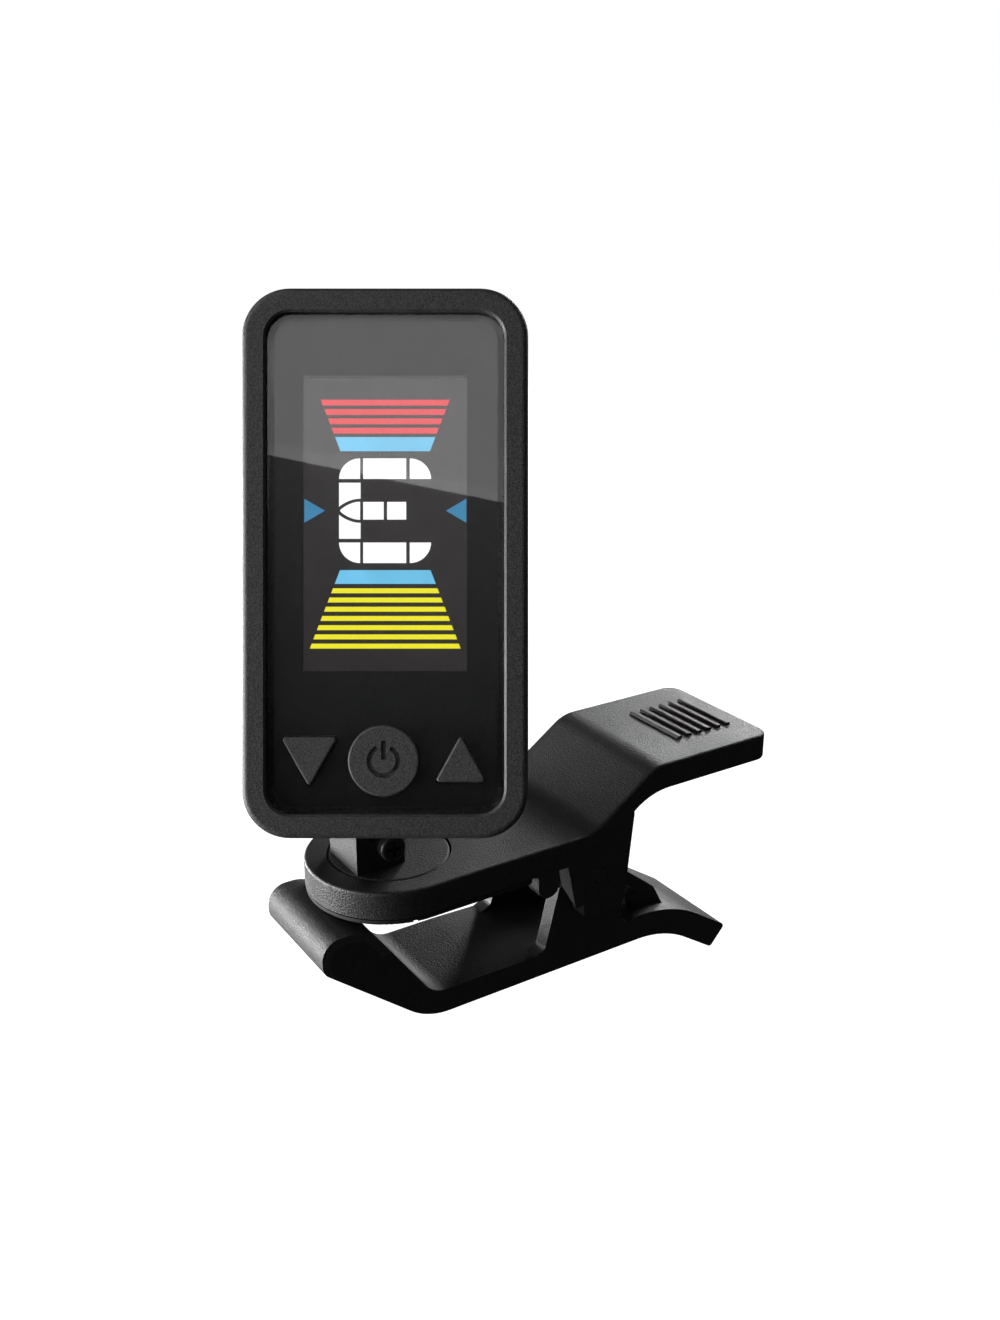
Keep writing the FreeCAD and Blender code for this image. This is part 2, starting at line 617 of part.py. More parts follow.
def board_parts():
    """Small capacitors and resistors on the back of the board."""
    places = ((6.2, -11.6), (8.2, -11.6), (-6.2, -7.4), (-8.2, -7.4), (-6.4, -12.4), (6.4, -14.4))
    return Part.makeCompound([slab(1.0, 0.6, 0.08, BOARD_BACK - 0.5, BOARD_BACK, place) for place in places])


CELL_LOW = -HEAD_T + DOOR_T + 0.05


def battery_cell():
    """Coin cell: can towards the door, smaller cap towards the board."""
    can = Part.makeCylinder(CELL_R, CELL_T - 0.35, Vector(0, CELL_Y, CELL_LOW))
    can = can.makeFillet(0.3, edges_at(can, level(CELL_LOW)))
    cap = Part.makeCylinder(8.7, CELL_T, Vector(0, CELL_Y, CELL_LOW))
    return can.fuse(cap).removeSplitter()


def battery_contact_minus():
    """Flat spring between board and cell."""
    low = CELL_LOW + CELL_T
    strip = slab(3.0, 12.0, 0.8, low, BOARD_BACK, (0, CELL_Y))
    return strip.fuse(slab(12.0, 3.0, 0.8, low, BOARD_BACK, (0, CELL_Y))).removeSplitter()


def battery_contact_plus():
    """Upright blade that touches the side of the can, on a foot soldered to the board."""
    blade = block(Vector(CELL_R, CELL_Y - 2.0, CELL_LOW + 1.9), Vector(CELL_R + 0.2, CELL_Y + 2.0, BOARD_BACK))
    foot = block(Vector(CELL_R, CELL_Y - 2.0, BOARD_BACK - 0.2), Vector(CELL_R + 1.5, CELL_Y + 2.0, BOARD_BACK))
    return blade.fuse(foot).removeSplitter()


def wedge(angle_from, angle_to, inner, outer, low, high):
    """Part of a ring round the cell's axis between two angles in degrees."""
    centre = Vector(0, CELL_Y, low)
    piece = Part.makeCylinder(outer, high - low, centre, Vector(0, 0, 1), angle_to - angle_from)
    piece = piece.cut(Part.makeCylinder(inner, high - low, centre))
    piece.rotate(centre, Vector(0, 0, 1), angle_from)
    return piece


SKIRT_IN = 10.2
SKIRT_OUT = 10.8
RIM_IN = 10.9
RIM_OUT = 12.5
RIM_HIGH = -6.9
LUG_HIGH = -6.25
LUG_ANGLES = (75, 255)              # where the closed door's bayonet lugs start
LUG_SPAN = 30
UNLOCK_ANGLE = 40


def battery_door():
    """Round bayonet door with a coin slot."""
    back = -HEAD_T
    door = Part.makeCylinder(DOOR_R, DOOR_T, Vector(0, CELL_Y, back))
    door = door.makeFillet(0.25, edges_at(door, level(back)))
    skirt = tube(SKIRT_OUT, SKIRT_IN, Vector(0, CELL_Y, back + DOOR_T - 0.1), Vector(0, CELL_Y, LUG_HIGH))
    door = door.fuse(skirt)
    for start in LUG_ANGLES:
        door = door.fuse(wedge(start, start + LUG_SPAN, SKIRT_IN + 0.1, 11.6, RIM_HIGH + 0.06, LUG_HIGH))
    slot = slab(13.0, 1.7, 0.8, back - 1, back + 0.5, (0, CELL_Y))
    return door.removeSplitter().cut(slot)


def rear_cover():
    back = -HEAD_T
    shell = slab(HEAD_W, HEAD_H, HEAD_CORNER, back, SPLIT_Z)
    shell = shell.makeFillet(1.2, edges_at(shell, level(back)))
    cavity = slab(HEAD_W - 2 * WALL, HEAD_H - 2 * WALL, HEAD_CORNER - WALL, back + BACK_WALL, SPLIT_Z + 1)
    shell = shell.cut(cavity)
    rim = tube(RIM_OUT, RIM_IN, Vector(0, CELL_Y, back + 0.2), Vector(0, CELL_Y, RIM_HIGH))
    shell = shell.fuse(rim)
    for x, y in screw_places():
        post = Part.makeCylinder(1.9, SPLIT_Z - back - 0.2, Vector(x, y, back + 0.2))
        shell = shell.fuse(post)
    shell = shell.removeSplitter()
    door_top = back + DOOR_T + RUN_GAP
    shell = shell.cut(Part.makeCylinder(DOOR_R + 0.08, door_top - back + 1, Vector(0, CELL_Y, back - 1)))
    shell = shell.cut(Part.makeCylinder(RIM_IN, 4, Vector(0, CELL_Y, back)))
    for start in LUG_ANGLES:
        opened = start + UNLOCK_ANGLE
        shell = shell.cut(wedge(opened - 3, opened + LUG_SPAN + 3, SKIRT_IN, 11.75, back, RIM_HIGH + 1))
    for x, y in screw_places():
        shell = shell.cut(Part.makeCylinder(0.7, 9, Vector(x, y, back - 1)))
        shell = shell.cut(Part.makeCylinder(1.3, 1.2 + 1, Vector(x, y, back - 1)))
    for x in (-SOCKET_SCREW_X, SOCKET_SCREW_X):
        shell = shell.cut(Part.makeCylinder(0.55, 4, Vector(x, BALL_LOCAL.y, back - 1)))
    return shell


def case_screws():
    back = -HEAD_T
    screws = []
    for x, y in screw_places():
        head = Part.makeCylinder(1.2, 0.9, Vector(x, y, back + 0.3))
        shank = Part.makeCylinder(0.6, 4.6, Vector(x, y, back + 1.1))
        screw = head.fuse(shank).removeSplitter()
        screws.append(screw.cut(screw_cross(Vector(x, y, back + 0.3), Vector(0, 0, 1), 1.4, 0.35, 0.4)))
    return Part.makeCompound(screws)


SOCKET_SCREW_X = 5.05
MOUTH_ANGLE = 32.4                  # degrees from straight down to the middle of the ball's free swing


def ball_socket():
    """Cup that snaps over the ball, on a round flange screwed to the rear cover."""
    back = -HEAD_T
    flange = Part.makeCylinder(6.5, 1.0, Vector(BALL_LOCAL.x, BALL_LOCAL.y, back - 1.0))
    flange = flange.makeFillet(0.3, edges_at(flange, level(back - 1.0)))
    neck = Part.makeCylinder(3.9, 3.0, Vector(BALL_LOCAL.x, BALL_LOCAL.y, back - 3.5))
    cup = Part.makeSphere(3.9, BALL_LOCAL)
    swing = math.radians(MOUTH_ANGLE)
    mouth = Vector(0, -math.cos(swing), -math.sin(swing))
    lip = Part.makeCylinder(9, 9, BALL_LOCAL + mouth * 1.1, mouth)
    socket = cup.fuse(neck).cut(lip).fuse(flange).removeSplitter()
    socket = socket.cut(Part.makeSphere(BALL_R + RUN_GAP, BALL_LOCAL))
    for x in (-SOCKET_SCREW_X, SOCKET_SCREW_X):
        socket = socket.cut(Part.makeCylinder(0.6, 3, Vector(x, BALL_LOCAL.y, back - 2)))
    keep_behind = Part.makeBox(40, 40, 20, Vector(-20, BALL_LOCAL.y - 20, back - 20))
    return socket.common(keep_behind)


def socket_screws():
    back = -HEAD_T
    screws = []
    for x in (-SOCKET_SCREW_X, SOCKET_SCREW_X):
        head = Part.makeCylinder(0.95, 0.5, Vector(x, BALL_LOCAL.y, back - 1.5))
        shank = Part.makeCylinder(0.55, 2.6, Vector(x, BALL_LOCAL.y, back - 1.1))
        screw = head.fuse(shank).removeSplitter()
        cross = screw_cross(Vector(x, BALL_LOCAL.y, back - 1.5), Vector(0, 0, 1), 1.2, 0.3, 0.25)
        screws.append(screw.cut(cross))
    return Part.makeCompound(screws)


def piezo_disc():
    """Vibration pickup: brass plate bonded to the rear wall, with its ceramic layer."""
    low = -HEAD_T + BACK_WALL
    plate = Part.makeCylinder(4.9, 0.2, Vector(0, -19.6, low))
    ceramic = Part.makeCylinder(3.5, 0.4, Vector(0, -19.6, low))
    return plate.fuse(ceramic).removeSplitter()


# ================================================================================ output
CLIP_NODES = [upper_jaw, upper_jaw_pad, lower_jaw, lower_jaw_pad, hinge_pin, torsion_spring, swivel_base,
              swivel_washer, swivel_screw, tilt_screw, tilt_nut, tilt_arm, ball_stud]
HEAD_NODES = [front_bezel, window_panel, lcd_glass, lcd_color_film, backlight_plate, backlight_leds,
              zebra_strips, lcd_frame, main_board, controller_chip, crystal_can, board_parts, tact_switches,
              battery_cell, battery_contact_minus, battery_contact_plus, battery_door, rear_cover, case_screws,
              ball_socket, socket_screws, piezo_disc, power_button, down_button, up_button]


def main():
    os.makedirs("parts", exist_ok=True)
    for build in CLIP_NODES:
        build().exportStep(f"parts/{build.__name__}.step")
    for build in HEAD_NODES:
        on_head(build()).exportStep(f"parts/{build.__name__}.step")


main()
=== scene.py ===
import json
import math

import bmesh
import bpy
from mathutils import Matrix, Vector


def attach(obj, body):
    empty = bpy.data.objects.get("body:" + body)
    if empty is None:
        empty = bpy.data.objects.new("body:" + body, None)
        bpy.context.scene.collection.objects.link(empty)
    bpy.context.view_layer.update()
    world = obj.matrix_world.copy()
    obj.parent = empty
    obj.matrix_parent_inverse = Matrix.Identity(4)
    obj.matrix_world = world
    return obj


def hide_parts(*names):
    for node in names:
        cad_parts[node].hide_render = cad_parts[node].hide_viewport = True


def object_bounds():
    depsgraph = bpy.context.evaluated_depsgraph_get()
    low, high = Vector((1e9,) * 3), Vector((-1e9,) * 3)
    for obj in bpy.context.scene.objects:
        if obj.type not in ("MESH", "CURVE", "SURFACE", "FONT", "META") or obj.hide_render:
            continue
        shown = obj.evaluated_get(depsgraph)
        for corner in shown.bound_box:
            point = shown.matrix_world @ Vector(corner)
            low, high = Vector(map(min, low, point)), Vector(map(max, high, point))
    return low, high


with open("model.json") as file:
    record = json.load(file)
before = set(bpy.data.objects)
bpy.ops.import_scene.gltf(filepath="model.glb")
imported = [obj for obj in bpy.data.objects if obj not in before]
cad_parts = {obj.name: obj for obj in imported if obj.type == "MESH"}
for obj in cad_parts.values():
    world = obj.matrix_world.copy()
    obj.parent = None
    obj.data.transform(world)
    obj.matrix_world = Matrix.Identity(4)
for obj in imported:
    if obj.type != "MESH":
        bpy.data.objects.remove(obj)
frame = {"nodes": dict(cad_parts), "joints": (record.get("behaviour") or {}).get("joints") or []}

CAD_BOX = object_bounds()
NODES = frame["nodes"]
JOINTS = {joint["name"]: joint for joint in frame["joints"]}
MM = 0.001

# ---------------------------------------------------------------- frame of the display head
BALL = Vector(JOINTS["head_nod"]["pos_m"])
RIGHT = Vector(JOINTS["head_nod"]["axis"]).normalized()
OUT = -Vector(JOINTS["power_press"]["axis"]).normalized()
UP = OUT.cross(RIGHT)
BALL_ON_HEAD = Vector((0.0, -13.1, -12.5)) * MM
HEAD = Matrix((
    (RIGHT.x, UP.x, OUT.x, 0),
    (RIGHT.y, UP.y, OUT.y, 0),
    (RIGHT.z, UP.z, OUT.z, 0),
    (0, 0, 0, 1)))
HEAD.translation = BALL - HEAD.to_3x3() @ BALL_ON_HEAD
FROM_HEAD = HEAD.inverted()


def head_box(node):
    """Lowest and highest corner of a CAD node in the head's own frame, in mm."""
    points = [FROM_HEAD @ v.co / MM for v in NODES[node].data.vertices]
    low = Vector([min(p[i] for p in points) for i in range(3)])
    high = Vector([max(p[i] for p in points) for i in range(3)])
    return low, high


# ---------------------------------------------------------------- material helpers
class Shader:
    """A node tree with one Principled shader and short calls to add nodes to it."""

    def __init__(self, name):
        self.material = bpy.data.materials.new(name)
        self.material.use_nodes = True
        self.tree = self.material.node_tree
        self.main = self.tree.nodes["Principled BSDF"]
        self.place = self.node("ShaderNodeTexCoord").outputs["Object"]

    def node(self, kind, **settings):
        made = self.tree.nodes.new(kind)
        for key, value in settings.items():
            setattr(made, key, value)
        return made

    def link(self, source, target):
        self.tree.links.new(source, target)

    def put(self, **values):
        for key, value in values.items():
            self.main.inputs[key.replace("_", " ")].default_value = value

    def noise(self, cycles_per_mm, detail=2.0, roughness=0.5):
        made = self.node("ShaderNodeTexNoise")
        made.inputs["Scale"].default_value = cycles_per_mm / MM
        made.inputs["Detail"].default_value = detail
        made.inputs["Roughness"].default_value = roughness
        self.link(self.place, made.inputs["Vector"])
        return made.outputs["Fac"]

    def cells(self, cycles_per_mm, feature="F1"):
        made = self.node("ShaderNodeTexVoronoi", feature=feature)
        made.inputs["Scale"].default_value = cycles_per_mm / MM
        self.link(self.place, made.inputs["Vector"])
        return made.outputs["Distance"]

    def span(self, source, low, high, to_low, to_high):
        made = self.node("ShaderNodeMapRange")
        limits = {"From Min": low, "From Max": high, "To Min": to_low, "To Max": to_high}
        for key, value in limits.items():
            made.inputs[key].default_value = value
        self.link(source, made.inputs["Value"])
        return made.outputs["Result"]

    def math(self, operation, first, second):
        made = self.node("ShaderNodeMath", operation=operation)
        for socket, value in zip(made.inputs, (first, second)):
            if isinstance(value, (int, float)):
                socket.default_value = value
            else:
                self.link(value, socket)
        return made.outputs["Value"]

    def mix(self, factor, first, second):
        made = self.node("ShaderNodeMix", data_type="RGBA")
        for socket, value in zip((made.inputs["Factor"], made.inputs["A"], made.inputs["B"]),
                                 (factor, first, second)):
            if isinstance(value, bpy.types.NodeSocket):
                self.link(value, socket)
            else:
                socket.default_value = value
        return made.outputs["Result"]

    def bump(self, height, distance_mm, strength=1.0):
        made = self.node("ShaderNodeBump")
        made.inputs["Distance"].default_value = distance_mm * MM
        made.inputs["Strength"].default_value = strength
        self.link(height, made.inputs["Height"])
        self.link(made.outputs["Normal"], self.main.inputs["Normal"])

    def edge(self, radius_mm, low, high):
        """1 along rounded edges and corners, 0 on the flats."""
        bevel = self.node("ShaderNodeBevel", samples=4)
        bevel.inputs["Radius"].default_value = radius_mm * MM
        flat = self.node("ShaderNodeNewGeometry").outputs["Normal"]
        dot = self.node("ShaderNodeVectorMath", operation="DOT_PRODUCT")
        self.link(bevel.outputs["Normal"], dot.inputs[0])
        self.link(flat, dot.inputs[1])
        return self.span(dot.outputs["Value"], low, high, 1.0, 0.0)


def grey(value, blue=1.0):
    return (value, value, value * blue, 1.0)


def moulded(name, dark, light, gloss=0.5, grain_mm=0.16, relief_mm=0.012, wear=0.6, specular=0.5):
    """Fine-grained moulded plastic: sparkle grain, uneven sheen, edges polished by handling."""
    s = Shader(name)
    grain = s.noise(1 / grain_mm, 3.0, 0.65)
    broad = s.noise(0.12, 2.0)
    tone = s.mix(s.span(grain, 0.35, 0.68, 0.0, 1.0), grey(dark, 1.02), grey(light, 1.02))
    rubbed = s.span(s.noise(0.7), 0.35, 0.7, wear * 0.4, wear)
    worn = s.math("MULTIPLY", s.edge(0.25, 0.90, 0.995), rubbed)
    s.link(s.mix(worn, tone, grey(light * 1.9)), s.main.inputs["Base Color"])
    sheen = s.math("ADD", s.span(grain, 0.3, 0.7, -0.07, 0.07), s.span(broad, 0.3, 0.7, -0.03, 0.03))
    rough = s.math("ADD", sheen, gloss)
    s.link(s.math("SUBTRACT", rough, s.math("MULTIPLY", worn, 0.10)), s.main.inputs["Roughness"])
    s.put(IOR=1.49, Specular_IOR_Level=specular)
    s.bump(s.math("ADD", grain, s.math("MULTIPLY", s.cells(1 / (grain_mm * 1.4)), 0.5)), relief_mm)
    return s.material


def rubber(name, dark, light):
    """Matt rubber with a faint dusty bloom and a soft skin texture."""
    s = Shader(name)
    dust = s.span(s.noise(0.5, 4.0, 0.6), 0.45, 0.75, 0.0, 1.0)
    s.link(s.mix(dust, grey(dark), grey(light)), s.main.inputs["Base Color"])
    s.link(s.span(s.noise(2.0, 3.0), 0.3, 0.7, 0.62, 0.78), s.main.inputs["Roughness"])
    s.put(IOR=1.5, Specular_IOR_Level=0.35)
    s.bump(s.noise(5.0, 2.0), 0.01)
    return s.material


def metal(name, colour, rough_low, rough_high, lines_per_mm=0.0):
    """Plated or bright metal with handling marks; lines_per_mm adds fine turning or drawing marks."""
    s = Shader(name)
    stain = s.noise(0.6, 4.0, 0.6)
    dull = tuple(c * 0.72 for c in colour[:3]) + (1,)
    s.link(s.mix(s.span(stain, 0.35, 0.75, 0.0, 1.0), colour, dull), s.main.inputs["Base Color"])
    s.link(s.span(s.noise(3.0, 3.0), 0.3, 0.7, rough_low, rough_high), s.main.inputs["Roughness"])
    s.put(Metallic=1.0)
    marks = s.noise(6.0, 2.0)
    if lines_per_mm:
        wave = s.node("ShaderNodeTexWave", wave_type="RINGS", rings_direction="SPHERICAL")
        wave.inputs["Scale"].default_value = lines_per_mm / MM
        wave.inputs["Distortion"].default_value = 2.0
        s.link(s.place, wave.inputs["Vector"])
        marks = s.math("ADD", marks, s.math("MULTIPLY", wave.outputs["Fac"], 0.3))
    s.bump(marks, 0.004)
    return s.material


def glossy(name, colour, second, rough=0.3, scale=1.0, relief_mm=0.003, **more):
    """Smooth part with slight colour unevenness and faint surface ripple."""
    s = Shader(name)
    patch = s.span(s.noise(scale, 3.0), 0.35, 0.7, 0.0, 1.0)
    s.link(s.mix(patch, colour, second), s.main.inputs["Base Color"])
    s.link(s.span(s.noise(2.5, 2.0), 0.3, 0.7, rough * 0.85, rough * 1.2), s.main.inputs["Roughness"])
    s.put(**more)
    s.bump(s.noise(1.5, 2.0), relief_mm)
    return s.material


def window(name, tint, rough):
    """Clear moulded sheet with the finest wipe marks in its polish."""
    s = Shader(name)
    wipe = s.noise(0.8, 5.0, 0.7)
    smear = s.span(wipe, 0.4, 0.8, 0.0, 1.0)
    s.link(s.mix(smear, grey(tint), grey(tint * 0.96)), s.main.inputs["Base Color"])
    s.link(s.span(wipe, 0.45, 0.8, rough, rough * 2.5), s.main.inputs["Roughness"])
    s.put(IOR=1.49, Transmission_Weight=1.0)
    return s.material


def lamp_print(name, colour, strength, deep=0.82):
    """Backlit print: its colour glows, a little unevenly where the light guide is weaker."""
    s = Shader(name)
    patch = s.span(s.noise(0.22, 2.0), 0.3, 0.7, 0.0, 1.0)
    weak = tuple(c * deep for c in colour[:3]) + (1.0,)
    glow = s.mix(patch, weak, colour)
    s.link(glow, s.main.inputs["Emission Color"])
    s.link(s.mix(patch, grey(0.02), grey(0.03)), s.main.inputs["Base Color"])
    s.put(Emission_Strength=strength, Roughness=0.35)
    s.bump(s.noise(12.0, 2.0), 0.001)
    return s.material


def srgb(r, g, b):
    """8-bit display colour as linear light."""
    light = [((c / 255 + 0.055) / 1.055) ** 2.4 if c > 10 else c / 255 / 12.92 for c in (r, g, b)]
    return tuple(light) + (1.0,)


CASE = moulded("moulded_case", 0.004, 0.068, gloss=0.52, grain_mm=0.14, relief_mm=0.030, wear=0.12)
CLIP = moulded("moulded_clip", 0.003, 0.036, gloss=0.45, grain_mm=0.16, relief_mm=0.052, wear=0.25)
KEY = moulded("moulded_key", 0.010, 0.090, gloss=0.55, grain_mm=0.13, relief_mm=0.026, wear=0.15)
PAD = rubber("soft_rubber", 0.012, 0.022)
SKIN = moulded("soft_touch_skin", 0.010, 0.056, gloss=0.56, grain_mm=0.16, relief_mm=0.060, wear=0.3)
STEEL = metal("plated_steel", (0.55, 0.55, 0.56, 1), 0.25, 0.42)
BLACK_STEEL = moulded("black_oxide", 0.014, 0.028, gloss=0.42, grain_mm=0.10, relief_mm=0.004)
WIRE = metal("drawn_wire", (0.50, 0.50, 0.52, 1), 0.22, 0.38)
CELL = metal("coin_cell_can", (0.68, 0.68, 0.69, 1), 0.18, 0.32, lines_per_mm=2.0)
NICKEL = metal("nickel_strip", (0.70, 0.68, 0.64, 1), 0.18, 0.30)
BRASS = metal("pickup_plate", (0.78, 0.58, 0.24, 1), 0.25, 0.40, lines_per_mm=3.0)
BOARD = glossy("solder_mask", (0.012, 0.10, 0.035, 1), (0.016, 0.14, 0.05, 1), 0.35, 1.2)
CHIP = glossy("epoxy_package", grey(0.02), grey(0.03), 0.55, 4.0)
WHITE = glossy("white_moulding", grey(0.70), grey(0.62), 0.45)
GUIDE = glossy("light_guide_sheet", grey(0.82), grey(0.74), 0.25, Transmission_Weight=0.3)
ZEBRA = glossy("striped_silicone", grey(0.08), grey(0.25), 0.6, 8.0)
GLASS = window("smoked_window", 0.90, 0.004)
LCD_GLASS = window("polarised_glass", 0.72, 0.02)
FILM = lamp_print("printed_film", (0.034, 0.029, 0.030, 1.0), 0.82, 0.9)
MASK = glossy("black_mask", grey(0.004), grey(0.006), 0.5)

FINISH = {
    CASE: "front_bezel rear_cover battery_door",
    CLIP: "upper_jaw lower_jaw swivel_base tilt_arm ball_stud ball_socket",
    PAD: "upper_jaw_pad",
    SKIN: "lower_jaw_pad",
    KEY: "power_button down_button up_button",
    STEEL: "swivel_washer swivel_screw tact_switches",
    BLACK_STEEL: "hinge_pin tilt_screw tilt_nut case_screws socket_screws",
    WIRE: "torsion_spring",
    CELL: "battery_cell crystal_can",
    NICKEL: "battery_contact_minus battery_contact_plus",
    BRASS: "piezo_disc",
    BOARD: "main_board",
    CHIP: "controller_chip board_parts",
    WHITE: "lcd_frame backlight_leds",
    GUIDE: "backlight_plate",
    ZEBRA: "zebra_strips",
    GLASS: "window_panel",
    LCD_GLASS: "lcd_glass",
    FILM: "lcd_color_film",
}
for finish, names in FINISH.items():
    for name in names.split():
        mesh = NODES[name].data
        mesh.materials.clear()
        mesh.materials.append(finish)


# ---------------------------------------------------------------- piece helpers
def add_piece(name, mesh, material, body):
    piece = bpy.data.objects.new(name, mesh)
    bpy.context.scene.collection.objects.link(piece)
    mesh.materials.append(material)
    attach(piece, body)
    return piece


def plate_mesh(name, outlines, low, high, place):
    """Flat plates with the given outlines in mm, between two heights, put where place says."""
    work = bmesh.new()
    for points in outlines:
        lower = [work.verts.new(place @ (Vector((x, y, low)) * MM)) for x, y in points]
        upper = [work.verts.new(place @ (Vector((x, y, high)) * MM)) for x, y in points]
        work.faces.new(upper)
        work.faces.new(lower[::-1])
        for i in range(len(points)):
            j = (i + 1) % len(points)
            work.faces.new((lower[i], lower[j], upper[j], upper[i]))
    bmesh.ops.recalc_face_normals(work, faces=work.faces)
    mesh = bpy.data.meshes.new(name)
    work.to_mesh(mesh)
    work.free()
    return mesh


# ---------------------------------------------------------------- display artwork, in mm on the head
LCD_HIGH = head_box("lcd_glass")[1]
PANEL_LOW, PANEL_HIGH = head_box("window_panel")
PRINT_GAP = 0.008                   # air under the print, which is PRINT_THICK thick
PRINT_THICK = 0.016
PRINT_LOW = LCD_HIGH.z + PRINT_GAP
PRINT_HIGH = PRINT_LOW + PRINT_THICK
PRINT_SCALE = 1.0113
PRINT_SHIFT = (-0.127, 0.107)
FAN_X = 0.05                        # middle line of the bars
FAN_SLOPE = 0.385


def fan_bar(top, bottom, half_at, grows_down):
    """One bar of the fan; half_at(y) is its half width there."""
    sign = 1 if grows_down else -1
    half_top = half_at[1] + sign * FAN_SLOPE * (half_at[0] - top)
    half_bottom = half_at[1] + sign * FAN_SLOPE * (half_at[0] - bottom)
    return [(FAN_X - half_top, top), (FAN_X + half_top, top),
            (FAN_X + half_bottom, bottom), (FAN_X - half_bottom, bottom)]


UPPER_FAN = (15.92, 6.29)           # height and half width where each fan starts
LOWER_FAN = (-0.69, 4.41)
RED_PITCH = 0.91
YELLOW_PITCH = 0.899
RED_BARS = [fan_bar(15.92 - RED_PITCH * i, 15.35 - RED_PITCH * i, UPPER_FAN, False) for i in range(4)]
YELLOW_BARS = [fan_bar(-2.46 - YELLOW_PITCH * i, -2.94 - YELLOW_PITCH * i, LOWER_FAN, True)
               for i in range(7)]
BLUE_BLOCKS = [fan_bar(12.28, 10.90, UPPER_FAN, False), fan_bar(-0.69, -2.03, LOWER_FAN, True)]
MIDDLE_Y = 5.10                     # middle line of the letter and the pointers
POINTER_HALF = 1.17
POINTERS = [[(-7.84, MIDDLE_Y + POINTER_HALF), (-5.83, MIDDLE_Y), (-7.84, MIDDLE_Y - POINTER_HALF)],
            [(7.96, MIDDLE_Y + POINTER_HALF), (7.96, MIDDLE_Y - POINTER_HALF), (5.965, MIDDLE_Y)]]
ARC_STEPS = 12
BULLET_POWER = 0.8                  # under 1 makes the bullet's nose blunter


def box_outline(left, right, low, high):
    return [(left, low), (right, low), (right, high), (left, high)]


def quarter(left, right, low, high, round_left):
    """Block with one large rounded upper corner."""
    across, rise = right - left, high - low
    turns = [math.pi / 2 * i / ARC_STEPS for i in range(ARC_STEPS + 1)]
    if round_left:
        arc = [(right - across * math.sin(t), low + rise * math.cos(t)) for t in turns]
        return arc + [(right, low)]
    arc = [(left + across * math.sin(t), low + rise * math.cos(t)) for t in turns]
    return arc + [(left, low)]


def on_print(points):
    """The drawing at its size on the print, which lies deeper than the window's face."""
    return [(PRINT_SCALE * x + PRINT_SHIFT[0], PRINT_SCALE * y + PRINT_SHIFT[1]) for x, y in points]


def flipped(points):
    """The same outline mirrored about the middle line of the letter."""
    return [(x, 2 * MIDDLE_Y - y) for x, y in points]


def ogive(tip_x, base_x, half):
    """Bullet outline that points left."""
    upper = []
    for i in range(ARC_STEPS + 1):
        t = i / ARC_STEPS
        rise = half * math.sin(t * math.pi / 2) ** BULLET_POWER
        upper.append((tip_x + (base_x - tip_x) * t, MIDDLE_Y + rise))
    return upper + flipped(reversed(upper[1:]))


def stem_block(left, right, high):
    """Upper stem segment; its lower end follows the bullet's curve."""
    curve = []
    for i in range(ARC_STEPS + 1):
        t = i / ARC_STEPS
        rise = 0.38 + 0.80 * math.sin(t * math.pi / 2) ** BULLET_POWER
        curve.append((left + (right - left) * t, MIDDLE_Y + rise))
    return curve + [(right, high), (left, high)]


LETTER_TOP = [quarter(-4.45, -2.40, 8.20, 10.20, True), box_outline(-2.10, 2.09, 8.20, 10.20),
              quarter(2.44, 4.51, 8.20, 10.20, False), stem_block(-4.45, -2.36, 7.83)]
LETTER = LETTER_TOP + [flipped(p) for p in LETTER_TOP]
LETTER += [ogive(-4.38, -2.40, 0.88),
           box_outline(-2.10, -0.10, 4.24, 5.96), box_outline(0.23, 2.09, 4.24, 5.96)]

ARTWORK = {
    "display_red_bars": (RED_BARS, lamp_print("lit_red", srgb(250, 76, 84), 0.97, 0.97)),
    "display_blue_blocks": (BLUE_BLOCKS, lamp_print("lit_light_blue", srgb(112, 200, 240), 1.18, 0.84)),
    "display_pointers": (POINTERS, lamp_print("lit_blue", srgb(66, 154, 204), 0.80, 0.94)),
    "display_letter": (LETTER, lamp_print("lit_white", srgb(255, 255, 255), 1.3, 0.97)),
    "display_yellow_bars": (YELLOW_BARS, lamp_print("lit_yellow", srgb(254, 246, 36), 1.05, 0.97)),
}
for name, (outlines, material) in ARTWORK.items():
    drawn = [on_print(points) for points in outlines]
    add_piece(name, plate_mesh(name, drawn, PRINT_LOW, PRINT_HIGH, HEAD), material, "head")


# ---------------------------------------------------------------- black printing round the display
VIEW_LEFT, VIEW_RIGHT, VIEW_LOW, VIEW_HIGH = -7.93, 8.02, -10.55, 18.27
MASK_GAP = 0.003                    # air under and over the black sheet
MASK_LOW = PRINT_HIGH + MASK_GAP
MASK_HIGH = PANEL_LOW.z - MASK_GAP
MASK_INSET = 0.15
MASK_CORNER = 2.3
KEY_GROWTH = 0.12                   # clearance of the key holes


def round_box(left, right, low, high, radius):
    """Box outline with rounded corners."""
    points = []
    corners = ((right, high, 0), (left, high, 1), (left, low, 2), (right, low, 3))
    for x, y, quarter_turn in corners:
        cx = x - radius if x == right else x + radius
        cy = y - radius if y == high else y + radius
        for i in range(7):
            angle = math.pi / 2 * (quarter_turn + i / 6)
            points.append((cx + radius * math.cos(angle), cy + radius * math.sin(angle)))
    return points


